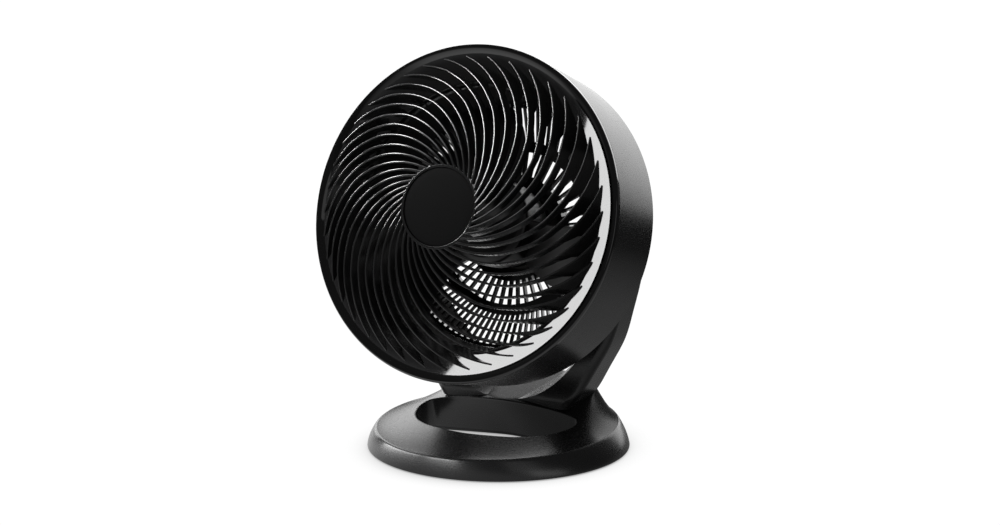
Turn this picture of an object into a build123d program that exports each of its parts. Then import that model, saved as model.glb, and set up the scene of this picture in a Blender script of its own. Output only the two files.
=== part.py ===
from build123d import *
import math
import os

os.makedirs("parts", exist_ok=True)

# ---------------------------------------------------------------------------
# Driving dimensions, in millimetres.
# World frame: origin at the middle of the base on the floor, +Z up,
# the fan blows towards -Y.
# ---------------------------------------------------------------------------
tilt_rest = 14.327          # upward tilt of the head as it stands, degrees
ring_y, ring_z = -82.886, 257.763   # centre of the front ring
pivot_back = 131.0          # from the ring plane back to the tilt pivot

# head (radius, distance along the head axis; 0 is the widest plane of the ring)
ring_r = 170.0
throat_r = 139.5
throat_z = -30.0
drum_r_front = 169.9
drum_r_rear = 168.3
drum_len = 98.0
wall = 2.6
housing_r = 131.5           # narrow rear housing between the yoke arms
housing_z0, housing_z1 = -98.3, -122.0
lug_r = 14.0
lug_x0, lug_x1 = 128.9, 133.2
pin_r = 5.0

# swirl grille
fin_count = 40
fin_t = 2.3
hub_r = 41.5
hub_z = 43.0
fin_tip_r = 157.0

# impeller
blade_count = 3
blade_tip_r = 123.0
impeller_phase = 99.0      # degrees, middle of the first blade
imp_hub_r = 46.0

# rear grille
rear_ribs = 50              # of the inner zone; the outer zone has twice as many
rear_rim_r = 128.6
rear_hub_r = 57.0

# base
base_r = 139.2
edge_a, edge_b, edge_y, edge_z, edge_slope = 127.4, 136.0, -2.0, 25.06, 0.025
top_a, top_b, top_y, top_z, top_slope, top_egg = 66.9, 52.4, 56.3, 54.35, 0.117, 0.5
cover_power = 1.434

# yoke
yoke_front_y, yoke_rear_y, yoke_seam_y = 9.5, 73.0, 50.5
arm_in, arm_out = 134.0, 143.5
arm_tip_r = 21.0

# ---------------------------------------------------------------------------
# Frames
# ---------------------------------------------------------------------------
ct, st = math.cos(math.radians(tilt_rest)), math.sin(math.radians(tilt_rest))
head_o = Vector(0, ring_y, ring_z)
head_n = Vector(0, -ct, st)
head_v = Vector(0, st, ct)
head_plane = Plane(origin=head_o, x_dir=(1, 0, 0), z_dir=head_n)
head_section = Plane(origin=head_o, x_dir=(1, 0, 0), z_dir=head_v * -1)   # x radial, y along the axis
head_axis = Axis(head_o, head_n)
pivot = head_o - head_n * pivot_back
PIV_Y, PIV_Z = pivot.Y, pivot.Z


def head_at(z):
    """Plane across the head axis, at z along it."""
    return head_plane.offset(z)


# ---------------------------------------------------------------------------
# Base: a flared skirt, a sloping cover with a large opening, a bottom plate
# ---------------------------------------------------------------------------
def skirt_levels(inset):
    """Outline planes and half-axes of the skirt, from the floor up."""
    return [
        (Plane.XY.offset(1.0), base_r - 0.9 - inset, base_r - 0.9 - inset),
        (Plane.XY.offset(2.6), base_r - inset, base_r - inset),
        (Plane(origin=(0, -0.8, 13.5), x_dir=(1, 0, 0), z_dir=(0, -0.012, 1)),
         135.2 - inset, 138.3 - inset),
        (Plane(origin=(0, edge_y, edge_z), x_dir=(1, 0, 0), z_dir=(0, -edge_slope, 1)),
         edge_a - inset, edge_b - inset),
    ]


with BuildPart() as base_skirt:
    for plane, a, b in skirt_levels(0.0)[1:]:
        with BuildSketch(plane):
            Ellipse(a, b)
    loft()
    with BuildSketch(Plane.XY.offset(1.0)):
        Circle(base_r - 0.9)
    with BuildSketch(Plane.XY.offset(2.6)):
        Circle(base_r)
    loft(ruled=True)
    with BuildSketch(Plane.XY.offset(0.5)):
        Circle(base_r - wall - 0.9)
    with BuildSketch(Plane(origin=(0, -0.8, 13.5), x_dir=(1, 0, 0), z_dir=(0, -0.012, 1))):
        Ellipse(135.2 - wall, 138.3 - wall)
    with BuildSketch(Plane(origin=(0, edge_y, edge_z + 2.0), x_dir=(1, 0, 0), z_dir=(0, -edge_slope, 1))):
        Ellipse(edge_a - wall + 0.4, edge_b - wall + 0.4)
    loft(mode=Mode.SUBTRACT)
    # small bore for the cord gland at the back
    with Locations(Plane(origin=(0, 145, 12), x_dir=(1, 0, 0), z_dir=(0, 1, 0))):
        Cylinder(4.7, 30, mode=Mode.SUBTRACT)
        Cylinder(6.6, 16, mode=Mode.SUBTRACT)
base_skirt.part.label = "base_skirt"


def cover_level(s, inset, drop=0.0):
    """Plane and egg-shaped outline of the cover at height fraction s."""
    y = edge_y * (1 - s) + top_y * s
    by = edge_b * (1 - s) + top_b * s
    k = s ** cover_power
    z = edge_z + 0.2 + (top_z - edge_z) * k - drop
    bz = edge_b * edge_slope * (1 - k) + top_b * top_slope * k
    slope = bz / by
    plane = Plane(origin=(0, y, z), x_dir=(1, 0, 0), z_dir=(0, -slope, 1))
    pts = []
    n = 28
    run = math.hypot(1.0, slope)
    for i in range(n):
        t = 2 * math.pi * i / n
        a = (edge_a - 0.7) * (1 - s) + top_a * s * (1 + top_egg * math.sin(t))
        pts.append(((a - inset) * math.cos(t), (by - 0.7 * (1 - s) - inset) * math.sin(t) * run))
    return plane, pts


def hole_points(z, grow=0.0):
    """Outline of the opening through the base at height z."""
    f = (z - 2.0) / 46.0
    yc = 30.0 + (2.0 - 30.0) * f
    y1 = 25.0 + (3.4 - 25.0) * f
    y2 = 20.0 + (5.2 - 20.0) * f
    y3 = 14.0 + (5.6 - 14.0) * f
    half = [(0, -73.5), (39, -66.8), (63.5, -54.5), (79.5, -38), (89, -18), (91.4, -3),
            (87.5, (y3 + 1.0) * 0.75 + 0.4), (77, y3 + 1.0), (56, y2 - 0.2), (32, y1), (0, yc)]
    pts = []
    for x, y in half:
        # push outwards by grow, away from a point inside the opening
        dx, dy = x, y + 22.0
        d = math.hypot(dx, dy)
        pts.append((x + grow * dx / d, y + grow * dy / d * (1.25 if y > 0 else 1.0)))
    left = [(-x, y) for x, y in pts[1:-1]][::-1]
    return pts + left


with BuildPart() as hole_tool:
    for z in (-6.0, 30.0, 75.0):
        with BuildSketch(Plane.XY.offset(z)):
            with BuildLine():
                Spline(*hole_points(z), periodic=True)
            make_face()
    loft(ruled=True)

with BuildPart() as hole_wall_tool:
    for z in (-6.0, 30.0, 75.0):
        with BuildSketch(Plane.XY.offset(z)):
            with BuildLine():
                Spline(*hole_points(z, 2.7), periodic=True)
            make_face()
    loft(ruled=True)


# ---------------------------------------------------------------------------
# Yoke: neck, cradle and two arms, drawn from the front and from the side
# ---------------------------------------------------------------------------
waist_z = 43.0              # below it the yoke goes on as a narrower neck
neck_side = [(33, 6), (23.5, 22), (13, 42), (13, 47), (69, 47), (69, 42), (67, 24), (67, 6)]


def neck_block(o):
    """Neck under the waist, pushed outwards by o."""
    with BuildPart() as block:
        with BuildSketch(Plane.YZ.offset(-80)):
            with BuildLine():
                Polyline(*[(y + (o if y > 45 else -o), z) for y, z in neck_side], close=True)
            make_face()
        extrude(amount=160)
        with BuildSketch(Plane.XZ.offset(-90)):
            with BuildLine():
                Polyline((-64 - o, 0), (-67 - o, 60), (67 + o, 60), (64 + o, 0), close=True)
            make_face()
        extrude(amount=100, mode=Mode.INTERSECT)
    return block.part


yoke_outer = [(66, 6), (69.5, 24), (75.2, 42), (80.8, 50), (86.6, 58), (95.2, 73), (106, 92), (117.8, 114),
              (128, 146), (135.3, 173), (140.5, 195), (arm_out, 216)]
cradle_front = [(0, 47.0), (17.4, 48.4), (36, 53.2), (56.2, 64.2), (69.2, 75.4), (81.6, 89.0), (90, 99.5),
                (101.5, 118), (114.5, 147), (124.5, 175), (129.8, 190), (133.2, 203), (arm_in, 212), (arm_in, 300)]
cradle_rear = [(0, 50.5), (17, 53.5), (33, 62.0), (48, 75.0), (60, 88.0), (70.5, 101.0), (83, 118.0),
               (99, 142), (113, 165), (123, 184), (131.5, 202), (arm_in, 212), (arm_in, 300)]


def side_outline(o):
    """Side view of the yoke, pushed outwards by o."""
    with BuildSketch(Plane.YZ) as sk:
        with BuildLine():
            r = arm_tip_r + o
            Line((yoke_front_y - o, waist_z - o), (yoke_front_y - o, 51))
            Spline((yoke_front_y - o, 51), (13.2 - o, 66), (16.8 - o, 98), (PIV_Y - r - 1.5, 160),
                   (PIV_Y - r, PIV_Z), tangents=((0, 1), (0, 1)))
            ThreePointArc((PIV_Y - r, PIV_Z), (PIV_Y, PIV_Z + r), (PIV_Y + r, PIV_Z))
            Spline((PIV_Y + r, PIV_Z), (65.6 + o, 180), (68.5 + o, 130), (72.4 + o, 80), (yoke_rear_y + o, 50),
                   tangents=((0, -1), (0, -1)))
            Polyline((yoke_rear_y + o, 50), (yoke_rear_y + o, waist_z - o), (yoke_front_y - o, waist_z - o))
        make_face()
    return sk.sketch_local


def front_outline(o):
    """Front view of the yoke with its arms, pushed outwards by o."""
    with BuildSketch(Plane.XZ) as sk:
        with BuildLine():
            right = Spline(*[(x + o, z) for x, z in yoke_outer], tangents=((0.1, 1), (0, 1)))
            left = Spline(*[(-x - o, z) for x, z in yoke_outer], tangents=((-0.1, 1), (0, 1)))
            Polyline(right @ 1, (arm_out + o, 262), (-arm_out - o, 262), left @ 1)
            Line(right @ 0, left @ 0)
        make_face()
    return sk.sketch_local


with BuildPart() as yoke_envelope:
    with BuildSketch(Plane.XZ.offset(-90)):
        add(front_outline(0))
    extrude(amount=100)
    with BuildSketch(Plane.YZ.offset(-150)):
        add(side_outline(0))
    extrude(amount=300, mode=Mode.INTERSECT)
    side_edges = yoke_envelope.edges().filter_by(lambda e: abs(e.center().X) > 60 and e.length > 150)
    fillet(side_edges, 8.0)


def cradle_cut():
    """Everything between the arms, narrowing towards the back."""
    with BuildPart() as cut:
        for y, pts in ((2.0, cradle_front), (82.0, cradle_rear)):
            with BuildSketch(Plane.XZ.offset(-y)):
                with BuildLine():
                    u = Spline(*([(-x, z) for x, z in pts[:0:-1]] + pts))
                    Line(u @ 1, u @ 0)
                make_face()
        loft(ruled=True)
    return cut.part

cradle_tool = cradle_cut()

# the hollow inside both shells: the neck and the lower part of the cradle
hollow_half = [(0, 42.0), (17.4, 43.5), (36, 48.3), (54.5, 58.0), (68, 70.0), (80, 84.0), (90, 98.0), (100, 115.5),
               (105.5, 127), (113, 114), (101.4, 92), (90.6, 73), (81.5, 58), (69.5, 49), (62.5, 41), (60, 6)]
with BuildPart() as yoke_hollow:
    with BuildSketch(Plane.XZ.offset(-90)):
        with BuildLine():
            Polyline(*hollow_half, *[(-x, z) for x, z in hollow_half[:0:-1]], close=True)
        make_face()
    extrude(amount=100)
    with BuildSketch(Plane.YZ.offset(-150)):
        with BuildLine():
            Polyline((36.6, 6), (27.1, 22), (17, 42), (17.5, 66), (20.6, 98), (22, 135), (64, 135), (65, 98),
                     (65.4, 66), (65, 43), (63.4, 24), (63.4, 6), close=True)
        make_face()
    extrude(amount=300, mode=Mode.INTERSECT)

with BuildPart() as yoke_whole:
    add(yoke_envelope)
    add(neck_block(0))
    add(cradle_tool, mode=Mode.SUBTRACT)
    add(yoke_hollow, mode=Mode.SUBTRACT)
    for side in (-1, 1):
        arm_plane = Plane(origin=(side * arm_out, PIV_Y, PIV_Z), x_dir=(0, 1, 0), z_dir=(side, 0, 0))
        with BuildSketch(arm_plane.offset(4)):
            Circle(13.2)
        extrude(amount=-6.2, mode=Mode.SUBTRACT)          # seat of the round cap
        with BuildSketch(arm_plane.offset(-1)):
            Circle(pin_r + 0.05)
        extrude(amount=-14, mode=Mode.SUBTRACT)           # pivot bore

with BuildPart() as yoke_front:
    add(yoke_whole)
    split(bisect_by=Plane.XZ.offset(-(yoke_seam_y - 0.12)), keep=Keep.TOP)
    # screw bosses between the shells
    for x in (-40, 40):
        with BuildSketch(Plane.XZ.offset(-(yoke_seam_y - 0.3))):
            with Locations((x, 24)):
                Circle(5.0)
        extrude(amount=23)
yoke_front.part.label = "yoke_front"

with BuildPart() as yoke_rear:
    add(yoke_whole)
    split(bisect_by=Plane.XZ.offset(-(yoke_seam_y + 0.12)), keep=Keep.BOTTOM)
    # counterbored holes of the shell screws, on the back of the arms and cradle
    for x, z, deep in ((-112, 130, 10.2), (112, 130, 10.2), (-62, 72, 8.2), (62, 72, 8.2)):
        with BuildSketch(Plane.XZ.offset(-(yoke_rear_y + 2))):
            with Locations((x, z)):
                Circle(4.2)
        extrude(amount=deep, mode=Mode.SUBTRACT)
yoke_rear.part.label = "yoke_rear"

with BuildPart() as yoke_screws:
    for x, z, y in ((-112, 130, 65.2), (112, 130, 65.2), (-62, 72, 67.2), (62, 72, 67.2)):
        with BuildSketch(Plane.XZ.offset(-y)):
            with Locations((x, z)):
                Circle(3.6)
        extrude(amount=-2.4)
        with BuildSketch(Plane.XZ.offset(-(y + 2.4))):
            with Locations((x, z)):
                Rectangle(4.4, 0.9)
                Rectangle(0.9, 4.4)
        extrude(amount=1.2, mode=Mode.SUBTRACT)
yoke_screws.part.label = "yoke_screws"

with BuildPart() as pivot_caps:
    for side in (-1, 1):
        with BuildSketch(Plane(origin=(side * (arm_out - 2.15), PIV_Y, PIV_Z), x_dir=(0, 1, 0), z_dir=(side, 0, 0))):
            Circle(12.9)
        extrude(amount=3.0)
    fillet(pivot_caps.edges().filter_by(GeomType.CIRCLE).filter_by(lambda e: abs(e.center().X) > arm_out + 0.5), 0.9)
pivot_caps.part.label = "pivot_caps"

with BuildPart() as pivot_washers:
    for side in (-1, 1):
        with BuildSketch(Plane(origin=(side * (lug_x1 + 0.1), PIV_Y, PIV_Z), x_dir=(0, 1, 0), z_dir=(side, 0, 0))):
            Circle(12.0)
            Circle(pin_r + 0.1, mode=Mode.SUBTRACT)
        extrude(amount=0.6)
pivot_washers.part.label = "pivot_washers"

# ---------------------------------------------------------------------------
# Base cover, plate, feet
# ---------------------------------------------------------------------------
with BuildPart() as cover_outer:
    for s in (0.0, 0.25, 0.5, 0.75, 1.0):
        plane, pts = cover_level(s, 0.0)
        with BuildSketch(plane):
            with BuildLine():
                Spline(*pts, periodic=True)
            make_face()
    loft()
    # short rim below the edge, inside the skirt
    with BuildSketch(Plane(origin=(0, edge_y, edge_z + 0.25), x_dir=(1, 0, 0), z_dir=(0, -edge_slope, 1))):
        Ellipse(edge_a - 2.9, edge_b - 2.9)
    extrude(amount=-6)

with BuildPart() as cover_inner:
    for s in (0.0, 0.25, 0.5, 0.75, 1.0):
        plane, pts = cover_level(s, wall, wall * 1.15)
        with BuildSketch(plane):
            with BuildLine():
                Spline(*pts, periodic=True)
            make_face()
    loft()
    with BuildSketch(Plane(origin=(0, edge_y, edge_z + 0.2 - wall * 1.15), x_dir=(1, 0, 0), z_dir=(0, -edge_slope, 1))):
        Ellipse(edge_a - 2.9 - wall, edge_b - 2.9 - wall)
    extrude(amount=-20)

with BuildPart() as wall_limit:
    add(cover_outer)
    with BuildSketch(Plane.XY.offset(4.7)):
        Circle(118)
    extrude(amount=24)

with BuildPart() as neck_clearance:
    with BuildSketch(Plane.XZ.offset(-90)):
        add(front_outline(0.35))
    extrude(amount=100)
    with BuildSketch(Plane.YZ.offset(-150)):
        add(side_outline(0.35))
    extrude(amount=300, mode=Mode.INTERSECT)
    add(neck_block(0.35))

with BuildPart() as hole_walls:
    add(hole_wall_tool)
    add(wall_limit, mode=Mode.INTERSECT)

with BuildPart() as base_cover:
    add(cover_outer)
    add(cover_inner, mode=Mode.SUBTRACT)
    add(hole_walls)
    add(hole_tool, mode=Mode.SUBTRACT)
    add(neck_clearance, mode=Mode.SUBTRACT)
base_cover.part.label = "base_cover"

with BuildPart() as base_plate:
    with BuildSketch(Plane.XY.offset(1.8)):
        Circle(base_r - wall - 2.3)
    extrude(amount=2.6)
    with BuildSketch(Plane.XY.offset(1.0)):
        with BuildLine():
            Spline(*hole_points(3.2), periodic=True)
        make_face()
    extrude(amount=6, mode=Mode.SUBTRACT)
    # raised pad that carries the neck of the yoke
    with BuildSketch(Plane.XY.offset(4.4)):
        with Locations((0, 50)):
            Rectangle(128, 30)
    extrude(amount=1.6)
base_plate.part.label = "base_plate"

foot_angles = [-90, -38, 20, 62, 118, 160, 218]
with BuildPart() as rubber_feet:
    for a in foot_angles:
        x, y = 118 * math.cos(math.radians(a)), 118 * math.sin(math.radians(a))
        with BuildSketch(Plane.XY):
            with Locations((x, y)):
                Circle(8.5)
        extrude(amount=1.8)
    fillet(rubber_feet.edges().filter_by(GeomType.CIRCLE).group_by(Axis.Z)[0], 0.5)
rubber_feet.part.label = "rubber_feet"

base_screw_at = [(-100, -62), (100, -62), (-112, 62), (112, 62), (-52, 50), (52, 50), (0, 112), (0, -104)]
with BuildPart() as base_screws:
    for x, y in base_screw_at:
        with BuildSketch(Plane.XY.offset(0.9)):
            with Locations((x, y)):
                Circle(3.8)
        extrude(amount=0.9)
        with BuildSketch(Plane.XY.offset(0.9)):
            with Locations((x, y)):
                Rectangle(4.6, 0.9)
                Rectangle(0.9, 4.6)
        extrude(amount=0.5, mode=Mode.SUBTRACT)
base_screws.part.label = "base_screws"

with BuildPart() as cord_gland:
    with BuildSketch(Plane(origin=(0, 139.15, 12), x_dir=(1, 0, 0), z_dir=(0, -1, 0))):
        Circle(6.4)
        Circle(3.0, mode=Mode.SUBTRACT)
    extrude(amount=2.0)
    with BuildSketch(Plane(origin=(0, 137.2, 12), x_dir=(1, 0, 0), z_dir=(0, -1, 0))):
        Circle(4.6)
        Circle(3.0, mode=Mode.SUBTRACT)
    extrude(amount=5.0)
cord_gland.part.label = "cord_gland"

# ---------------------------------------------------------------------------
# Head: front ring, grille, drum, duct, rear housing, rear grille
# Revolved sections are drawn with x = radius and y = distance along the axis.
# ---------------------------------------------------------------------------
with BuildPart() as front_ring:
    with BuildSketch(head_section):
        with BuildLine():
            Line((throat_r, throat_z), (161.0, -2.6))
            Spline((161.0, -2.6), (164.0, -0.2), (166.6, 1.4), (168.6, 1.2), (ring_r, -1.4), tangents=((0.80, 0.60), (0, -1)))
            Polyline((ring_r, -1.4), (ring_r, -4.4), (167.0, -4.4), (167.0, -14), (164.9, -14), (164.9, -1.4),
                     (141.9, -30.8), (141.9, -37.5), (throat_r, -37.5), (throat_r, throat_z))
        make_face()
    revolve(axis=head_axis)
front_ring.part.label = "front_ring"

# centreline of one fin, seen from the front: radius, angle in degrees
fin_path = [(40.6, -1.0), (42, 1.02), (44, 3.76), (46, 6.1), (50, 10.02), (54, 13.9), (58, 17.43), (62, 20.53),
            (66, 23.76), (70, 26.57), (76, 30.77), (82, 34.64), (88, 38.45), (94, 42.16), (100, 45.76),
            (106, 49.29), (112, 53.34), (118, 57.5), (124, 61.3), (130, 65.44), (136, 69.62), (142, 73.58),
            (148, 78.1), (152, 81.14), (158.5, 86.3)]


# front edge and back edge of a fin along the head axis: radius, distance
fin_front = [(38, 43.4), (50, 43), (60, 42), (70, 40.5), (80, 38.5), (90, 36), (100, 33), (110, 30), (120, 26),
             (130, 21.8), (140, 16.8), (150, 10.5), (160, 3.2)]
fin_back = [(38, 24.5), (48, 29.6), (60, 31.2), (76, 29.8), (100, 23.2), (125, 11.2), (130.5, -2.0), (134.8, -36.5),
            (137, -36.5)]
fin_sections = [40.3, 46, 54, 63, 73, 84, 95, 106, 116, 125, 132, 141, 150, 159]


def table(points, r):
    for (r0, v0), (r1, v1) in zip(points, points[1:]):
        if r0 <= r <= r1:
            return v0 + (v1 - v0) * (r - r0) / (r1 - r0)
    return points[-1][1]


def fin_point(r):
    a = math.radians(table([(38.6, -4.0)] + fin_path + [(162, 89.0)], r))
    return Vector(1, 0, 0) * (r * math.cos(a)) + head_v * (r * math.sin(a))


with BuildPart() as fin:
    for r in fin_sections:
        low, high = -38.0, table(fin_front, r)
        along = (fin_point(r + 1.0) - fin_point(r - 1.0)).normalized()
        middle = head_o + (fin_point(r - 1.0) + fin_point(r + 1.0)) * 0.5 + head_n * ((low + high) / 2)
        with BuildSketch(Plane(origin=middle, x_dir=head_n, z_dir=along)):
            Rectangle(high - low, fin_t * (1.0 - 0.30 * (r - 40) / 118))
    loft()
    # back edge, then outer ends that follow the mouth of the ring
    with BuildSketch(head_section):
        with BuildLine():
            Polyline(*fin_back, (137.0, -24.5), (fin_tip_r, 5.2), (fin_tip_r, 60), (38, 60), close=True)
        make_face()
    revolve(axis=head_axis, mode=Mode.INTERSECT)

with BuildPart(head_plane) as front_grille:
    with PolarLocations(0, fin_count):
        add(fin.part.moved(head_plane.location.inverse()))
    # hub ring with a floor for the cap
    with BuildSketch(head_section):
        with BuildLine():
            Polyline((38.9, 23.5), (hub_r, 23.5), (hub_r, hub_z - 0.4), (hub_r - 0.5, hub_z + 0.2), (39.6, hub_z + 0.2),
                     (38.9, hub_z - 0.4), (38.9, 33.0), (0, 33.0), (0, 30.4), (38.9, 30.4), close=True)
        make_face()
    revolve(axis=head_axis)
    # outer ring that seats in the throat
    with BuildSketch(head_section):
        with BuildLine():
            Polyline((134.6, -37.3), (139.2, -37.3), (139.2, -30.5), (137.6, -28.0), (136.4, -28.0), (134.6, -31.5), close=True)
        make_face()
    revolve(axis=head_axis)
front_grille.part.label = "front_grille"

with BuildPart() as hub_cap:
    with BuildSketch(head_section):
        with BuildLine():
            Polyline((0, 33.2), (38.6, 33.2), (38.6, 41.7), (37.9, 42.4), (0, 42.8), (0, 33.2))
        make_face()
    revolve(axis=head_axis)
hub_cap.part.label = "hub_cap"

with BuildPart() as drum_shroud:
    with BuildSketch(head_section):
        with BuildLine():
            Polyline((drum_r_front, -5.1), (drum_r_rear, -94.0))
            ThreePointArc((drum_r_rear, -94.0), (166.8, -96.9), (163.9, -98.0))
            Polyline((163.9, -98.0), (158.6, -98.0), (158.6, -95.3), (163.3, -95.3), (165.6, -93.0), (167.2, -5.1),
                     (drum_r_front, -5.1))
        make_face()
    revolve(axis=head_axis)
drum_shroud.part.label = "drum_shroud"

with BuildPart(head_plane) as inner_duct:
    with BuildSketch(head_section):
        with BuildLine():
            Polyline((throat_r, -38.0), (129.0, -97.8), (131.6, -97.8), (142.0, -38.0), close=True)
        make_face()
    revolve(axis=head_axis)
    # webs that carry the drum around the duct
    with BuildSketch(head_section):
        with BuildLine():
            Polyline((140.0, -60), (163.6, -60), (163.6, -92), (155, -95.0), (132.0, -95.0), close=True)
        make_face()
    web = extrude(amount=1.2, both=True, mode=Mode.PRIVATE)
    with PolarLocations(0, 8, start_angle=22.5):
        add(web.moved(head_plane.location.inverse()))
    with BuildSketch(head_at(-97.8)):
        with PolarLocations(149, 8, start_angle=22.5):
            Circle(4.5)
    extrude(amount=30)
    with BuildSketch(head_at(-97.8)):
        with PolarLocations(149, 8, start_angle=22.5):
            Circle(1.4)
    extrude(amount=18, mode=Mode.SUBTRACT)
inner_duct.part.label = "inner_duct"

with BuildPart(head_plane) as rear_housing:
    with BuildSketch(head_section):
        with BuildLine():
            Polyline((rear_rim_r + 0.3, -98.3), (162.4, -98.3), (162.4, -99.9), (161.4, -100.9), (134.5, -100.9),
                     (housing_r, -103.4), (housing_r, housing_z1 + 0.8), (housing_r - 0.8, housing_z1),
                     (rear_rim_r + 0.3, housing_z1), close=True)
        make_face()
    revolve(axis=head_axis)
    # flat lugs for the tilt pivots
    for side in (-1, 1):
        lug_plane = Plane(origin=pivot + Vector(side * lug_x0, 0, 0), x_dir=head_n, z_dir=(side, 0, 0))
        with BuildSketch(lug_plane):
            Circle(lug_r)
            with Locations((13, 0)):
                Rectangle(26, 2 * lug_r)
        extrude(amount=lug_x1 - lug_x0)
    for side in (-1, 1):
        with BuildSketch(Plane(origin=pivot + Vector(side * 120, 0, 0), x_dir=head_n, z_dir=(side, 0, 0))):
            Circle(pin_r + 0.02)
        extrude(amount=20, mode=Mode.SUBTRACT)
    with BuildSketch(head_at(-102)):
        with PolarLocations(149, 8, start_angle=22.5):
            Circle(1.8)
    extrude(amount=6, mode=Mode.SUBTRACT)
rear_housing.part.label = "rear_housing"

with BuildPart(head_plane) as housing_screws:
    with BuildSketch(head_at(-102.9)):
        with PolarLocations(149, 8, start_angle=22.5):
            Circle(3.8)
    extrude(amount=1.95)
    with BuildSketch(head_at(-102.9)):
        with PolarLocations(149, 8, start_angle=22.5):
            Rectangle(4.6, 0.9)
            Rectangle(0.9, 4.6)
    extrude(amount=1.0, mode=Mode.SUBTRACT)
    with BuildSketch(head_at(-101.0)):
        with PolarLocations(149, 8, start_angle=22.5):
            Circle(1.35)
    extrude(amount=14)
housing_screws.part.label = "housing_screws"

with BuildPart() as pivot_pins:
    for side in (-1, 1):
        x_axis = Plane(origin=pivot + Vector(side * 124.6, 0, 0), x_dir=head_n, z_dir=(side, 0, 0))
        with BuildSketch(x_axis):
            Circle(8.0)
        extrude(amount=lug_x0 - 124.6 - 0.05)
        with BuildSketch(x_axis):
            Circle(pin_r)
        extrude(amount=141.0 - 124.6)
pivot_pins.part.label = "pivot_pins"

# rear grille: a nearly flat inner zone of wide ribs, a solid band, and a conical outer zone of narrow ribs
with BuildPart(head_plane) as rear_grille:
    with BuildSketch(head_section):
        with BuildLine():
            Polyline((rear_hub_r - 1.5, -127.0), (83.0, -124.2), (83.0, -118.2), (rear_hub_r - 1.5, -121.0), close=True)
        make_face()
    inner_rib = extrude(amount=1.15, both=True, mode=Mode.PRIVATE)
    with PolarLocations(0, rear_ribs):
        add(inner_rib.moved(head_plane.location.inverse()))
    with BuildSketch(head_section):
        with BuildLine():
            Polyline((92.5, -123.0), (rear_rim_r - 0.4, -99.5), (rear_rim_r - 0.4, -94.5), (92.5, -118.0), close=True)
        make_face()
    outer_rib = extrude(amount=0.95, both=True, mode=Mode.PRIVATE)
    with PolarLocations(0, 2 * rear_ribs):
        add(outer_rib.moved(head_plane.location.inverse()))
    with BuildSketch(head_section):
        with BuildLine():
            Polyline((82.0, -124.8), (93.5, -123.2), (93.5, -117.6), (82.0, -118.0), close=True)
        make_face()
        with BuildLine():
            Polyline((125.2, -103.6), (rear_rim_r, -103.6), (rear_rim_r, -98.6), (125.2, -98.6), close=True)
        make_face()
        with BuildLine():
            Polyline((54.6, -131.0), (rear_hub_r, -131.0), (rear_hub_r, -119.5), (12.5, -119.5), (12.5, -122.1),
                     (54.6, -122.1), close=True)
        make_face()
    revolve(axis=head_axis)
rear_grille.part.label = "rear_grille"

# ---------------------------------------------------------------------------
# Motor, switch and control cup, in the middle of the rear grille
# ---------------------------------------------------------------------------
with BuildPart() as motor_rear_shell:
    with BuildSketch(head_section):
        with BuildLine():
            Polyline((7.0, -128.0), (11.8, -128.0), (11.8, -119.2), (38, -119.2), (42.0, -115.2), (42.0, -95.0), (40.4, -95.0),
                     (40.4, -114.6), (37.4, -117.6), (10.2, -117.6), (10.2, -126.4), (7.0, -126.4), close=True)
        make_face()
    revolve(axis=head_axis)
motor_rear_shell.part.label = "motor_rear_shell"

with BuildPart() as motor_front_shell:
    with BuildSketch(head_section):
        with BuildLine():
            Polyline((42.0, -94.8), (42.0, -78.0), (38.0, -74.0), (11.8, -74.0), (11.8, -68.5), (7.0, -68.5), (7.0, -70.1),
                     (10.2, -70.1), (10.2, -75.6), (37.4, -75.6), (40.4, -78.6), (40.4, -94.8), close=True)
        make_face()
    revolve(axis=head_axis)
motor_front_shell.part.label = "motor_front_shell"

with BuildPart() as motor_stator:
    with BuildSketch(head_section):
        with Locations((33.2, -96.5)):
            Rectangle(14.0, 22)
    revolve(axis=head_axis)
    with BuildSketch(head_section):
        with Locations((31.5, -83.0)):
            RectangleRounded(9, 5, 2)
        with Locations((31.5, -110.0)):
            RectangleRounded(9, 5, 2)
    revolve(axis=head_axis)
motor_stator.part.label = "motor_stator"

with BuildPart() as motor_bearings:
    with BuildSketch(head_section):
        with Locations((7.1, -73.4)):
            Rectangle(6.1, 6.0)
        with Locations((7.1, -121.5)):
            Rectangle(6.1, 6.0)
    revolve(axis=head_axis)
motor_bearings.part.label = "motor_bearings"

with BuildPart() as motor_rotor:
    with BuildSketch(head_section):
        with BuildLine():
            Polyline((4.0, -108), (25.6, -108), (25.6, -85), (4.0, -85), close=True)
        make_face()
    revolve(axis=head_axis)
motor_rotor.part.label = "motor_rotor"

with BuildPart() as motor_shaft:
    with BuildSketch(head_at(-126.0)):
        Circle(4.0)
    extrude(amount=84.0)
motor_shaft.part.label = "motor_shaft"

with BuildPart() as control_cup:
    with BuildSketch(head_section):
        with BuildLine():
            Polyline((54.4, -127.0), (54.4, -131.2), (rear_hub_r + 0.0, -131.2), (rear_hub_r + 0.0, -133.5))
            Spline((rear_hub_r + 0.0, -133.5), (56.0, -141), (52.5, -147.5), (46.0, -150.4), tangents=((0, -1), (-1, -0.12)))
            Polyline((46.0, -150.4), (4.2, -151.6), (4.2, -149.2), (45.4, -148.0))
            Spline((45.4, -148.0), (50.6, -145.8), (53.2, -140.6), (54.2, -133.0), tangents=((1, 0.12), (0, 1)))
            Polyline((54.2, -133.0), (52.4, -131.0), (52.4, -127.0), (54.4, -127.0))
        make_face()
    revolve(axis=head_axis)
control_cup.part.label = "control_cup"

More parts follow.
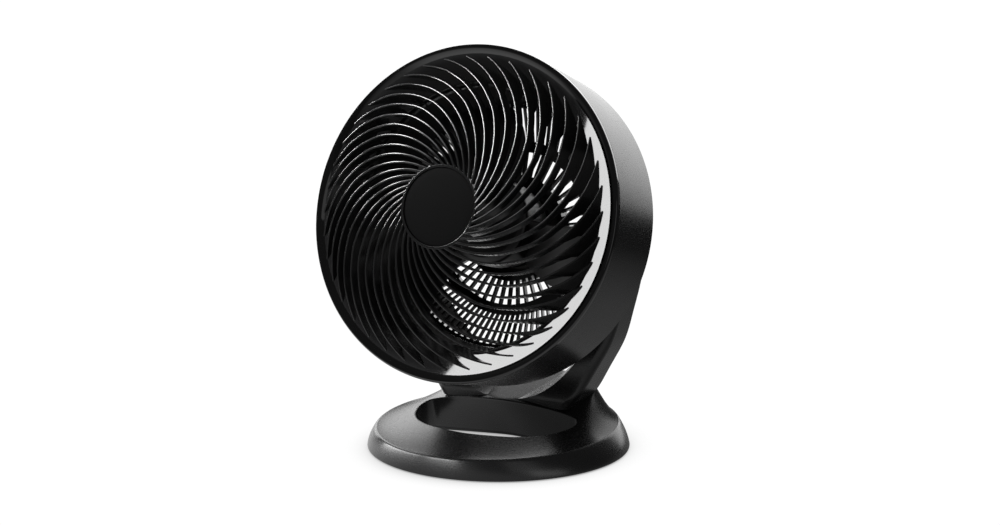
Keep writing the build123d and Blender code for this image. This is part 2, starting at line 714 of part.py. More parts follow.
with BuildPart() as cup_screws:
    with BuildSketch(head_at(-152.2)):
        with PolarLocations(41, 3, start_angle=-90):
            Circle(3.2)
    extrude(amount=1.35)
    with BuildSketch(head_at(-152.2)):
        with PolarLocations(41, 3, start_angle=-90):
            Rectangle(4.0, 0.8)
            Rectangle(0.8, 4.0)
    extrude(amount=0.8, mode=Mode.SUBTRACT)
cup_screws.part.label = "cup_screws"

with BuildPart() as speed_switch:
    with BuildSketch(head_at(-148.2)):
        Rectangle(26, 24)
    extrude(amount=10.0)
    with BuildSketch(head_at(-148.9)):
        Circle(6.0)
        Circle(3.05, mode=Mode.SUBTRACT)
    extrude(amount=1.0)
    with BuildSketch(head_at(-149.5)):
        Circle(3.05)
    extrude(amount=8.0, mode=Mode.SUBTRACT)
speed_switch.part.label = "speed_switch"

with BuildPart() as motor_capacitor:
    with BuildSketch(head_at(-144.5)):
        with Locations((0, 29)):
            RectangleRounded(38, 14, 2)
    extrude(amount=19.0)
motor_capacitor.part.label = "motor_capacitor"

with BuildPart() as switch_shaft:
    with BuildSketch(head_at(-160.0)):
        Circle(3.0)
    extrude(amount=17.0)
switch_shaft.part.label = "switch_shaft"

# rotary knob with a raised grip bar
knob_plane = Plane(origin=head_o + head_n * -152.2, x_dir=(-1, 0, 0), z_dir=head_n * -1)
with BuildPart() as speed_knob:
    with BuildSketch(knob_plane):
        Circle(19.0)
    extrude(amount=6.0, taper=4)
    with BuildSketch(knob_plane.offset(6.0)):
        SlotOverall(34.0, 11.0, rotation=90)
    extrude(amount=8.5, taper=3)
    fillet(speed_knob.faces().sort_by(Axis(head_o, head_n))[0].edges(), 1.2)
    with BuildSketch(knob_plane.offset(-1)):
        Circle(3.02)
    extrude(amount=9.0, mode=Mode.SUBTRACT)
speed_knob.part.label = "speed_knob"

with BuildPart() as knob_pointer:
    with BuildSketch(knob_plane.offset(14.6)):
        with Locations((0, 10.5)):
            Rectangle(1.4, 8.0)
    extrude(amount=0.45)
knob_pointer.part.label = "knob_pointer"

# raised dial marks: off, then one, two and three bars
dial_plane = Plane(origin=head_o + head_n * -151.0, x_dir=(-1, 0, 0), z_dir=head_n * -1)
with BuildPart() as dial_marks:
    for k, count in enumerate((0, 1, 2, 3)):
        ang = 90 - 45 * k
        cx, cy = 29 * math.cos(math.radians(ang)), 29 * math.sin(math.radians(ang))
        with BuildSketch(dial_plane):
            if count == 0:
                with Locations((cx, cy)):
                    Circle(2.3)
                    Circle(1.5, mode=Mode.SUBTRACT)
            else:
                with Locations(Location((cx, cy, 0), (0, 0, ang - 90))):
                    with GridLocations(1.9, 1, count, 1):
                        Rectangle(0.8, 4.6)
        extrude(amount=0.7)
dial_marks.part.label = "dial_marks"

# ---------------------------------------------------------------------------
# Impeller: three wide swept blades on a cup-shaped hub
# ---------------------------------------------------------------------------
def blade_face():
    rows = []
    for r in (44.0, 58.0, 72.0, 86.0, 100.0, 112.0, blade_tip_r):
        f = (r - 44.0) / (blade_tip_r - 44.0)
        lead = -28.0 + 9.0 * f + 11.0 * f ** 3     # edge that cuts the air first
        trail = 26.0 - 24.0 * f + 24.0 * f * f
        row = []
        for i in range(9):
            u = i / 8
            a = math.radians(impeller_phase + lead + (trail - lead) * u)
            z = -92.0 + 34.0 * (u - 0.10 * math.sin(math.pi * u)) + 2.0 * f
            p = head_o + head_n * z + Vector(1, 0, 0) * (r * math.cos(a)) + head_v * (r * math.sin(a))
            row.append(p)
        rows.append(row)
    return Face.make_surface_from_array_of_points(rows)


blade = thicken(blade_face(), amount=1.1, both=True)
with BuildPart(head_plane) as impeller:
    with PolarLocations(0, blade_count):
        add(blade.moved(head_plane.location.inverse()))
    with BuildSketch(head_section):
        with BuildLine():
            Polyline((43.6, -93.0), (imp_hub_r, -93.0), (imp_hub_r, -63.0))
            Spline((imp_hub_r, -63.0), (44.6, -58.5), (40, -56.2), (30, -55.2), tangents=((0, 1), (-1, 0.05)))
            Polyline((30, -55.2), (12, -54.6), (12, -50.5), (4.05, -50.5), (4.05, -66.0), (10, -66.0), (10, -57.4), (36, -58.0), (42.4, -61.0),
                     (43.6, -65.0), (43.6, -93.0))
        make_face()
    revolve(axis=head_axis)
impeller.part.label = "impeller"

with BuildPart() as impeller_nut:
    with BuildSketch(head_section):
        with BuildLine():
            Polyline((4.05, -50.2), (11.0, -50.2), (11.0, -45.0), (8.5, -40.6), (0, -40.2), (0, -41.8), (4.05, -41.8), close=True)
        make_face()
    revolve(axis=head_axis)
impeller_nut.part.label = "impeller_nut"

for p in (base_skirt, base_cover, base_plate, rubber_feet, base_screws, cord_gland, yoke_front, yoke_rear,
          yoke_screws, pivot_caps, pivot_washers, front_ring, front_grille, hub_cap, drum_shroud, inner_duct,
          rear_housing, housing_screws, pivot_pins, rear_grille, motor_rear_shell, motor_front_shell,
          motor_stator, motor_bearings, motor_rotor, motor_shaft, control_cup, cup_screws, speed_switch,
          motor_capacitor, switch_shaft, speed_knob, knob_pointer, dial_marks, impeller, impeller_nut):
    export_step(p.part, f"parts/{p.part.label}.step")
    print(p.part.label, round(p.part.volume), p.part.is_valid, len(p.part.solids()))
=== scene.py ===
import math

import bmesh
import bpy
from mathutils import Matrix, Vector


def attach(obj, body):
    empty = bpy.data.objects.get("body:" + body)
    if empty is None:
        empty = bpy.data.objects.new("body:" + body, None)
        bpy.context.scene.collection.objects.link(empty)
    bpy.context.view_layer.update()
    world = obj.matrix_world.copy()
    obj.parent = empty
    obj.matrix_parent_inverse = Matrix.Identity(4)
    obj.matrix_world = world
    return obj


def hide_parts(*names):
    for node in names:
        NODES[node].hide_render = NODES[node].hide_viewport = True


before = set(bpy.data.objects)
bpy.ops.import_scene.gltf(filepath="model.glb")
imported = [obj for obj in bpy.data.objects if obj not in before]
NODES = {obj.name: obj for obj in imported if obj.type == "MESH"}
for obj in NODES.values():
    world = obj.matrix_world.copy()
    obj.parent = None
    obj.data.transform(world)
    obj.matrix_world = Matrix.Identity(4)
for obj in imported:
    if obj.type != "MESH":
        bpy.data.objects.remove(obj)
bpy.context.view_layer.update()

MM = 0.001

# ---------------------------------------------------------------------------
# Frames shared with the CAD: head axis, ring centre, fin path. Millimetres.
# ---------------------------------------------------------------------------
TILT = math.radians(14.327)
HEAD_O = Vector((0.0, -82.886, 257.763))
HEAD_N = Vector((0.0, -math.cos(TILT), math.sin(TILT)))
HEAD_V = Vector((0.0, math.sin(TILT), math.cos(TILT)))
HEAD_U = Vector((1.0, 0.0, 0.0))


def head(r, deg, z):
    """Point at radius r, angle deg seen from the front, z along the head axis, in metres."""
    a = math.radians(deg)
    return (HEAD_O + HEAD_N * z + HEAD_U * (r * math.cos(a)) + HEAD_V * (r * math.sin(a))) * MM


# ---------------------------------------------------------------------------
# Mesh helpers
# ---------------------------------------------------------------------------
def finish_mesh(bm, name, sharp=40.0, weighted=True):
    bmesh.ops.recalc_face_normals(bm, faces=bm.faces[:])
    mesh = bpy.data.meshes.new(name)
    bm.to_mesh(mesh)
    bm.free()
    ob = bpy.data.objects.new(name, mesh)
    bpy.context.scene.collection.objects.link(ob)
    smooth(ob, sharp)
    if weighted:
        m = ob.modifiers.new("weighted", "WEIGHTED_NORMAL")
        m.keep_sharp = True
        m.weight = 80
    return ob


def smooth(ob, deg):
    ob.data.shade_smooth()
    ob.data.set_sharp_from_angle(angle=math.radians(deg))


def rounded(points, radii, steps=5):
    """Closed outline with its corners rounded. points in order; radii one number or one per point."""
    n = len(points)
    if not isinstance(radii, (list, tuple)):
        radii = [radii] * n
    out = []
    for i, (x, y) in enumerate(points):
        r = radii[i]
        p = Vector((x, y))
        a = Vector(points[i - 1]) - p
        b = Vector(points[(i + 1) % n]) - p
        if r <= 0 or a.length < 1e-6 or b.length < 1e-6:
            out.append((x, y))
            continue
        half = a.angle(b) / 2
        if half > math.radians(88):
            out.append((x, y))
            continue
        t = min(r / math.tan(half), a.length * 0.45, b.length * 0.45)
        p0, p1 = p + a.normalized() * t, p + b.normalized() * t
        for k in range(steps + 1):
            f = k / steps
            q = p0 * (1 - f) ** 2 + p * 2 * f * (1 - f) + p1 * f * f
            out.append((q.x, q.y))
    return out


def catmull(points, per=6):
    """Smooth open curve through points."""
    pts = [Vector(p) for p in points]
    ext = [pts[0] * 2 - pts[1]] + pts + [pts[-1] * 2 - pts[-2]]
    out = []
    for i in range(1, len(ext) - 2):
        p0, p1, p2, p3 = ext[i - 1:i + 3]
        for k in range(per):
            t = k / per
            q = 0.5 * ((2 * p1) + (p2 - p0) * t + (2 * p0 - 5 * p1 + 4 * p2 - p3) * t * t
                       + (3 * p1 - p0 - 3 * p2 + p3) * t ** 3)
            out.append(tuple(q))
    out.append(tuple(pts[-1]))
    return out


def revolve(name, outline, segs=288, sharp=50.0, place=head, closed=True):
    """Solid of revolution about the head axis from an outline of (radius, z)."""
    bm = bmesh.new()
    rings = []
    for r, z in outline:
        if r < 1e-4:
            rings.append([bm.verts.new(place(0, 0, z))] * segs)
        else:
            rings.append([bm.verts.new(place(r, 360.0 * k / segs, z)) for k in range(segs)])
    count = len(rings)
    for i in range(count if closed else count - 1):
        a, b = rings[i], rings[(i + 1) % count]
        for k in range(segs):
            k1 = (k + 1) % segs
            quad = []
            for v in (a[k], a[k1], b[k1], b[k]):
                if v not in quad:
                    quad.append(v)
            if len(quad) > 2:
                bm.faces.new(quad)
    return finish_mesh(bm, name, sharp)


def table(points, r):
    for (r0, v0), (r1, v1) in zip(points, points[1:]):
        if r0 <= r <= r1:
            return v0 + (v1 - v0) * (r - r0) / (r1 - r0)
    return points[-1][1]


# ---------------------------------------------------------------------------
# Materials
# ---------------------------------------------------------------------------
def sock(nt, kind, **values):
    n = nt.nodes.new(kind)
    for k, v in values.items():
        if k in n.inputs:
            n.inputs[k].default_value = v
        else:
            setattr(n, k, v)
    return n


def plastic(name, color, rough, spec=0.5, ior=1.5, coat=0.0, coat_rough=0.03, grain=1800.0, grain_bump=0.06,
            rough_spread=0.06, tone=0.25, scratch=0.12, wear=0.35, wear_color=(0.11, 0.11, 0.112), metal=0.0,
            sheen_dust=0.35):
    """Moulded plastic: cloudy tone, spark-eroded grain, hairline scratches, worn edges, faint dust on top faces."""
    mat = bpy.data.materials.new(name)
    mat.use_nodes = True
    nt = mat.node_tree
    bsdf = nt.nodes["Principled BSDF"]
    link = nt.links.new
    bsdf.inputs["Specular IOR Level"].default_value = spec
    bsdf.inputs["IOR"].default_value = ior
    bsdf.inputs["Coat Weight"].default_value = coat
    bsdf.inputs["Coat Roughness"].default_value = coat_rough
    bsdf.inputs["Metallic"].default_value = metal
    co = sock(nt, "ShaderNodeTexCoord").outputs["Object"]
    geo = sock(nt, "ShaderNodeNewGeometry")

    cloud = sock(nt, "ShaderNodeTexNoise", Scale=14.0, Detail=4.0, Roughness=0.6)
    link(co, cloud.inputs["Vector"])
    fine = sock(nt, "ShaderNodeTexNoise", Scale=grain, Detail=2.0, Roughness=0.65)
    link(co, fine.inputs["Vector"])
    # hairline scratches: long thin cells in two directions
    marks = []
    for turn, squeeze in (((0.3, 0.5, 0.9), (1.0, 0.03, 1.0)), ((1.2, 0.2, 2.1), (0.03, 1.0, 1.0))):
        m = sock(nt, "ShaderNodeMapping", Rotation=turn, Scale=squeeze)
        link(co, m.inputs["Vector"])
        w = sock(nt, "ShaderNodeTexNoise", Scale=900.0, Detail=1.0, Roughness=0.4)
        link(m.outputs["Vector"], w.inputs["Vector"])
        r = sock(nt, "ShaderNodeMapRange")
        r.inputs["From Min"].default_value = 0.66
        r.inputs["From Max"].default_value = 0.74
        link(w.outputs["Fac"], r.inputs["Value"])
        marks.append(r.outputs["Result"])
    both = sock(nt, "ShaderNodeMath", operation="MAXIMUM")
    link(marks[0], both.inputs[0])
    link(marks[1], both.inputs[1])

    # tone
    tone_ramp = sock(nt, "ShaderNodeMapRange")
    tone_ramp.inputs["To Min"].default_value = 1.0 - tone
    tone_ramp.inputs["To Max"].default_value = 1.0 + tone
    link(cloud.outputs["Fac"], tone_ramp.inputs["Value"])
    base = sock(nt, "ShaderNodeMix", data_type="RGBA", blend_type="MULTIPLY")
    base.inputs["Factor"].default_value = 1.0
    base.inputs[6].default_value = (*color, 1.0)
    link(tone_ramp.outputs["Result"], base.inputs[7])
    # worn edges, a little lighter
    edge = sock(nt, "ShaderNodeMapRange")
    edge.inputs["From Min"].default_value = 0.52
    edge.inputs["From Max"].default_value = 0.60
    link(geo.outputs["Pointiness"], edge.inputs["Value"])
    edge_n = sock(nt, "ShaderNodeMath", operation="MULTIPLY")
    link(edge.outputs["Result"], edge_n.inputs[0])
    link(cloud.outputs["Fac"], edge_n.inputs[1])
    edge_w = sock(nt, "ShaderNodeMath", operation="MULTIPLY")
    edge_w.inputs[1].default_value = wear
    link(edge_n.outputs[0], edge_w.inputs[0])
    worn = sock(nt, "ShaderNodeMix", data_type="RGBA")
    link(edge_w.outputs[0], worn.inputs["Factor"])
    link(base.outputs[2], worn.inputs[6])
    worn.inputs[7].default_value = (*wear_color, 1.0)
    # faint dust on what faces up
    sep = sock(nt, "ShaderNodeSeparateXYZ")
    link(geo.outputs["Normal"], sep.inputs[0])
    up = sock(nt, "ShaderNodeMapRange")
    up.inputs["From Min"].default_value = 0.35
    up.inputs["From Max"].default_value = 1.0
    up.inputs["To Max"].default_value = sheen_dust * 0.03
    link(sep.outputs["Z"], up.inputs["Value"])
    dust = sock(nt, "ShaderNodeMix", data_type="RGBA")
    link(up.outputs["Result"], dust.inputs["Factor"])
    link(worn.outputs[2], dust.inputs[6])
    dust.inputs[7].default_value = (0.35, 0.34, 0.33, 1.0)
    link(dust.outputs[2], bsdf.inputs["Base Color"])

    # roughness
    rr = sock(nt, "ShaderNodeMapRange")
    rr.inputs["From Min"].default_value = 0.3
    rr.inputs["From Max"].default_value = 0.7
    rr.inputs["To Min"].default_value = max(0.02, rough - rough_spread)
    rr.inputs["To Max"].default_value = rough + rough_spread
    link(cloud.outputs["Fac"], rr.inputs["Value"])
    sc = sock(nt, "ShaderNodeMath", operation="MULTIPLY_ADD")
    sc.inputs[1].default_value = scratch
    link(both.outputs[0], sc.inputs[0])
    link(rr.outputs["Result"], sc.inputs[2])
    link(sc.outputs[0], bsdf.inputs["Roughness"])

    # bump
    bump = sock(nt, "ShaderNodeBump")
    bump.inputs["Strength"].default_value = grain_bump
    bump.inputs["Distance"].default_value = 0.0002
    link(fine.outputs["Fac"], bump.inputs["Height"])
    bump2 = sock(nt, "ShaderNodeBump")
    bump2.invert = True
    bump2.inputs["Strength"].default_value = scratch * 0.15
    bump2.inputs["Distance"].default_value = 0.0001
    link(both.outputs[0], bump2.inputs["Height"])
    link(bump.outputs["Normal"], bump2.inputs["Normal"])
    link(bump2.outputs["Normal"], bsdf.inputs["Normal"])
    return mat


def metal(name, color, rough, stretch=(1.0, 1.0, 1.0), scale=300.0, tarnish=0.25, tarnish_color=(0.12, 0.10, 0.08)):
    """Metal with drawn or ground lines and light tarnish."""
    mat = bpy.data.materials.new(name)
    mat.use_nodes = True
    nt = mat.node_tree
    bsdf = nt.nodes["Principled BSDF"]
    link = nt.links.new
    bsdf.inputs["Metallic"].default_value = 1.0
    co = sock(nt, "ShaderNodeTexCoord").outputs["Object"]
    m = sock(nt, "ShaderNodeMapping", Scale=stretch)
    link(co, m.inputs["Vector"])
    lines = sock(nt, "ShaderNodeTexNoise", Scale=scale, Detail=4.0, Roughness=0.7)
    link(m.outputs["Vector"], lines.inputs["Vector"])
    cloud = sock(nt, "ShaderNodeTexNoise", Scale=60.0, Detail=3.0, Roughness=0.6)
    link(co, cloud.inputs["Vector"])
    t = sock(nt, "ShaderNodeMapRange")
    t.inputs["From Min"].default_value = 0.45
    t.inputs["From Max"].default_value = 0.75
    t.inputs["To Max"].default_value = tarnish
    link(cloud.outputs["Fac"], t.inputs["Value"])
    mix = sock(nt, "ShaderNodeMix", data_type="RGBA")
    link(t.outputs["Result"], mix.inputs["Factor"])
    mix.inputs[6].default_value = (*color, 1.0)
    mix.inputs[7].default_value = (*tarnish_color, 1.0)
    link(mix.outputs[2], bsdf.inputs["Base Color"])
    rr = sock(nt, "ShaderNodeMapRange")
    rr.inputs["To Min"].default_value = max(0.05, rough - 0.1)
    rr.inputs["To Max"].default_value = rough + 0.12
    link(lines.outputs["Fac"], rr.inputs["Value"])
    link(rr.outputs["Result"], bsdf.inputs["Roughness"])
    bump = sock(nt, "ShaderNodeBump")
    bump.inputs["Strength"].default_value = 0.12
    bump.inputs["Distance"].default_value = 0.0001
    link(lines.outputs["Fac"], bump.inputs["Height"])
    link(bump.outputs["Normal"], bsdf.inputs["Normal"])
    return mat


MAT = {
    "satin": plastic("black_satin_plastic", (0.010, 0.010, 0.0103), 0.26, spec=0.5, grain=2600, grain_bump=0.012,
                     rough_spread=0.015, tone=0.10, scratch=0.05),
    "cover": plastic("black_satin_cover", (0.010, 0.010, 0.0103), 0.26, spec=0.5, grain=2600, grain_bump=0.012,
                     rough_spread=0.012, tone=0.10, scratch=0.04),
    "gloss": plastic("black_gloss_plastic", (0.005, 0.005, 0.0052), 0.055, spec=0.5, coat=0.6, coat_rough=0.03,
                     grain=300, grain_bump=0.004, rough_spread=0.012, scratch=0.04, wear=0.15),
    "skirt": plastic("black_skirt_plastic", (0.010, 0.010, 0.0103), 0.26, spec=0.5, grain=2600, grain_bump=0.012,
                     rough_spread=0.012, tone=0.10, scratch=0.04),
    "grille": plastic("black_grille_plastic", (0.009, 0.009, 0.0092), 0.15, spec=0.55, grain=900, grain_bump=0.005,
                      rough_spread=0.015, tone=0.10, scratch=0.03, wear=0.2),
    "cap": plastic("black_cap_plastic", (0.0065, 0.0065, 0.0067), 0.50, spec=0.2, grain=1600, grain_bump=0.15,
                   rough_spread=0.02, tone=0.10, scratch=0.04),
    "inner": plastic("black_inner_plastic", (0.016, 0.016, 0.0164), 0.42, spec=0.4, grain=1200, grain_bump=0.05,
                     rough_spread=0.03, tone=0.12, scratch=0.05),
    "duct": plastic("black_duct_plastic", (0.012, 0.012, 0.0123), 0.50, spec=0.25, grain=900, grain_bump=0.03,
                    rough_spread=0.03, tone=0.10, scratch=0.03),
    "blade": plastic("black_impeller_plastic", (0.016, 0.016, 0.0164), 0.30, spec=0.5, grain=1200, grain_bump=0.02,
                     rough_spread=0.02, tone=0.10, scratch=0.04),
    "rubber": plastic("rubber", (0.012, 0.012, 0.012), 0.72, spec=0.3, grain=900, grain_bump=0.35, scratch=0.02,
                      wear=0.1),
    "mark": plastic("white_mark_ink", (0.62, 0.62, 0.60), 0.45, spec=0.4, grain=1500, grain_bump=0.08, tone=0.06,
                    wear=0.0, scratch=0.05),
    "nylon": plastic("natural_nylon", (0.62, 0.61, 0.55), 0.38, spec=0.4, grain=1500, grain_bump=0.05, tone=0.05,
                     wear=0.0, scratch=0.05),
    "screw": metal("black_screw_steel", (0.10, 0.10, 0.105), 0.38, scale=500, tarnish=0.3, tarnish_color=(0.25, 0.24, 0.22)),
    "zinc": metal("zinc_sheet_steel", (0.60, 0.60, 0.57), 0.36, scale=220, tarnish=0.3),
    "lamin": metal("laminated_core_steel", (0.32, 0.31, 0.30), 0.45, stretch=(1, 12, 12), scale=150, tarnish=0.5),
    "bronze": metal("sintered_bronze", (0.50, 0.36, 0.20), 0.5, scale=400, tarnish=0.4),
    "shaft": metal("ground_shaft_steel", (0.60, 0.60, 0.61), 0.22, stretch=(1, 30, 30), scale=200, tarnish=0.1),
}

NODE_MAT = {
    "base_skirt": "skirt", "base_cover": "cover", "base_plate": "inner", "rubber_feet": "rubber",
    "base_screws": "screw", "cord_gland": "rubber", "yoke_front": "satin", "yoke_rear": "satin",
    "yoke_screws": "screw", "pivot_caps": "satin", "pivot_washers": "nylon", "front_ring": "gloss",
    "front_grille": "grille", "hub_cap": "cap", "drum_shroud": "satin", "inner_duct": "duct",
    "rear_housing": "satin", "housing_screws": "screw", "pivot_pins": "shaft", "rear_grille": "grille",
    "motor_rear_shell": "zinc", "motor_front_shell": "zinc", "motor_stator": "lamin", "motor_bearings": "bronze",
    "control_cup": "satin", "cup_screws": "screw", "speed_switch": "inner", "motor_capacitor": "inner",
    "dial_marks": "mark", "impeller": "blade", "impeller_nut": "inner", "motor_shaft": "shaft",
    "motor_rotor": "lamin", "speed_knob": "gloss", "knob_pointer": "mark", "switch_shaft": "inner",
}
for node, key in NODE_MAT.items():
    ob = NODES[node]
    ob.data.materials.clear()
    ob.data.materials.append(MAT[key])


def dress(ob, key, body, slot, *stands_for):
    ob.data.materials.append(MAT[key])
    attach(ob, body)
    if stands_for:
        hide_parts(*stands_for)
    return ob


# ---------------------------------------------------------------------------
# Ring, drum, cap: turned pieces with rounded edges
# ---------------------------------------------------------------------------
lip = catmull([(161.0, -2.6), (164.0, -0.2), (166.6, 1.4), (168.6, 1.2), (169.75, 0.0), (170.0, -1.4)], 5)
ring_outline = [(139.5, -37.5), (139.5, -30.05), (139.8, -30.3), (161.25, -2.95), (161.05, -2.55)] + lip[1:] + \
    rounded([(170.0, -4.4), (167.0, -4.4)], 0) + [(167.0, -14.0), (164.9, -14.0), (164.9, -1.6), (141.9, -30.8), (141.9, -37.5)]
ring = dress(revolve("front_ring_skin", ring_outline, segs=384, sharp=14), "gloss", "head", "black_gloss_plastic", "front_ring")



def mouth_band(segs=384):
    """Polished cone of the mouth; its shading leans outwards, as a slightly crowned surface would."""
    bm = bmesh.new()
    outline = [(139.5, -30.0), (143.8, -24.52), (148.1, -19.04), (152.4, -13.56), (156.7, -8.08), (161.0, -2.6), (161.2, -2.9), (139.75, -30.25)]
    front = 5
    rings = [[bm.verts.new(head(r, 360.0 * k / segs, z)) for k in range(segs)] for r, z in outline]
    n = len(outline)
    for i in range(n):
        a, b = rings[i], rings[(i + 1) % n]
        for k in range(segs):
            bm.faces.new((a[k], a[(k + 1) % segs], b[(k + 1) % segs], b[k])).material_index = 0
    ob = finish_mesh(bm, "front_ring_mouth", 30, weighted=False)
    mesh = ob.data
    lean = math.radians(MOUTH_LEAN)
    normals = []
    for face in mesh.polygons:
        on_cone = max(mesh.loops[i].vertex_index for i in face.loop_indices) < (front + 1) * segs
        for i in face.loop_indices:
            k = mesh.loops[i].vertex_index % segs
            a = 2 * math.pi * k / segs
            rad = HEAD_U * math.cos(a) + HEAD_V * math.sin(a)
            normals.append(tuple(HEAD_N * math.cos(lean) - rad * math.sin(lean)) if on_cone else (0.0, 0.0, 0.0))
    mesh.normals_split_custom_set(normals)
    return ob


MOUTH_LEAN = -8.0
mouth = dress(mouth_band(), "gloss", "head", "black_gloss_plastic")

drum_outline = rounded([(169.9, -5.1), (168.3, -95.0), (165.0, -98.0), (158.6, -98.0), (158.6, -95.3), (163.6, -95.3),
                        (165.6, -93.0), (167.2, -5.1)], [0.35, 1.2, 2.0, 0.4, 0.4, 0.6, 0.8, 0.3], 6)
drum = dress(revolve("drum_skin", drum_outline, segs=384, sharp=50), "satin", "head", "black_satin_plastic", "drum_shroud")

cap_outline = [(0, 42.75), (30, 42.55)] + rounded([(37.9, 42.4), (38.6, 41.7), (38.6, 33.2)], [0.5, 0.3, 0.2], 4) + [(0, 33.2)]
cap = dress(revolve("hub_cap_skin", cap_outline, segs=192, sharp=40), "cap", "head", "cap_plastic", "hub_cap")

# ---------------------------------------------------------------------------
# Swirl grille: forty fins with rounded front edges, hub ring, seat ring
# ---------------------------------------------------------------------------
fin_path = [(38.6, -4.0), (40.6, -1.0), (42, 1.02), (44, 3.76), (46, 6.1), (50, 10.02), (54, 13.9), (58, 17.43),
            (62, 20.53), (66, 23.76), (70, 26.57), (76, 30.77), (82, 34.64), (88, 38.45), (94, 42.16), (100, 45.76),
            (106, 49.29), (112, 53.34), (118, 57.5), (124, 61.3), (130, 65.44), (136, 69.62), (142, 73.58),
            (148, 78.1), (152, 81.14), (158.5, 86.3), (162, 89.0)]
fin_front = [(38, 43.4), (50, 43), (60, 42), (70, 40.5), (80, 38.5), (90, 36), (100, 33), (110, 30), (120, 26),
             (130, 21.8), (140, 16.8), (150, 10.5), (160, 3.2)]
fin_back = [(38, 24.5), (48, 29.6), (60, 31.2), (76, 29.8), (100, 23.2), (125, 11.2), (130.5, -2.0), (134.8, -36.4),
            (137, -36.4)]
fin_count, fin_t, hub_r = 40, 2.3, 41.5
path_fine = catmull([(r, a) for r, a in fin_path], 4)
front_fine = catmull(fin_front, 4)


def fin_low(r):
    """Lower edge of a fin: the inner shape, then the slope that follows the ring's mouth."""
    if r <= 137.0:
        return table(fin_back, r)
    return -24.5 + (r - 137.0) * (5.2 + 24.5) / 20.0


def fin_mesh():
    bm = bmesh.new()
    stations = [41.0, 42.5, 44, 46, 48.5, 51, 54, 57.5, 61, 65, 69, 73, 77, 81, 85, 89, 93, 97, 101, 105, 109, 113, 117,
                120, 122.5, 125, 127, 129, 130.5, 131.4, 132.3, 133.2, 134, 134.8, 136, 136.95, 137.05, 139, 141.5, 144, 146.5, 149, 151, 153, 154.6, 155.8, 156.6]
    for f in range(fin_count):
        turn = 360.0 * f / fin_count
        rows = []
        for r in stations:
            a = table(path_fine, r)
            p = Vector((r * math.cos(math.radians(a)), r * math.sin(math.radians(a))))
            ra, rb = r - 0.5, r + 0.5
            qa, qb = math.radians(table(path_fine, ra)), math.radians(table(path_fine, rb))
            d = Vector((rb * math.cos(qb) - ra * math.cos(qa), rb * math.sin(qb) - ra * math.sin(qa))).normalized()
            side = Vector((-d.y, d.x))
            h = fin_t / 2 * (1.0 - 0.30 * (r - 40) / 118)
            top, low = table(front_fine, r), fin_low(r)
            low = min(low, top - 0.6)
            e = min(0.62, (top - low) * 0.3)
            section = [(-h, low), (-h, top - e)]
            for k in range(1, 6):
                t = math.pi * k / 6
                section.append((-h * math.cos(t), top - e + e * math.sin(t) ** 0.8))
            section += [(h, top - e), (h, low)]
            row = []
            c, s = math.cos(math.radians(turn)), math.sin(math.radians(turn))
            for off, z in section:
                q = p + side * off
                x, y = q.x * c - q.y * s, q.x * s + q.y * c
                row.append(bm.verts.new((HEAD_O + HEAD_N * z + HEAD_U * x + HEAD_V * y) * MM))
            rows.append(row)
        m = len(rows[0])
        for a, b in zip(rows, rows[1:]):
            for k in range(m):
                k1 = (k + 1) % m
                bm.faces.new((a[k], a[k1], b[k1], b[k]))
        bm.faces.new(rows[0][::-1])
        bm.faces.new(rows[-1])
    return finish_mesh(bm, "swirl_fins", 42)


fins = dress(fin_mesh(), "grille", "head", "grille_plastic", "front_grille")
hub_outline = [(0, 33.0), (0, 30.4)] + rounded([(38.9, 30.4), (38.9, 23.5), (41.5, 23.5), (41.5, 43.2), (38.9, 43.2), (38.9, 33.0)],
                                               [0.3, 0.5, 0.5, 0.6, 0.6, 0.2], 5)
hub = dress(revolve("swirl_hub_ring", hub_outline, segs=192, sharp=40), "grille", "head", "grille_plastic")
seat = dress(revolve("swirl_seat_ring", rounded([(134.6, -37.3), (139.2, -37.3), (139.2, -30.5), (137.6, -28.0),
                                                 (136.4, -28.0), (134.6, -31.5)], 0.4, 3), segs=288, sharp=40),
             "grille", "head", "grille_plastic")

# ---------------------------------------------------------------------------
# Base: flared skirt and sloping cover with its opening
# ---------------------------------------------------------------------------
BASE_R, WALL = 139.2, 2.6
EDGE_A, EDGE_B, EDGE_Y, EDGE_Z, EDGE_SLOPE = 127.4, 136.0, -2.0, 25.06, 0.025
TOP_A, TOP_B, TOP_Y, TOP_Z, TOP_SLOPE, TOP_EGG = 66.9, 52.4, 56.3, 54.35, 0.117, 0.5
COVER_POWER = 1.434


def skirt_point(v, t, inset=0.0):
    """Outer surface of the skirt, v from 0 at the bottom to 1 at the top edge, in millimetres."""
    levels = [(0.0, 2.6, BASE_R, BASE_R, 0.0), (-0.8, 13.5, 135.2, 138.3, 0.012), (EDGE_Y, EDGE_Z, EDGE_A, EDGE_B, EDGE_SLOPE)]
    w = [2 * (v - 0.5) * (v - 1.0), -4 * v * (v - 1.0), 2 * v * (v - 0.5)]
    x = y = z = 0.0
    for wk, (yc, zc, a, b, slope) in zip(w, levels):
        px, py = (a - inset) * math.cos(t), (b - inset) * math.sin(t)
        run = math.hypot(1.0, slope)
        x += wk * px
        y += wk * (yc + py / run)
        z += wk * (zc + py * slope / run)
    return Vector((x, y, z))


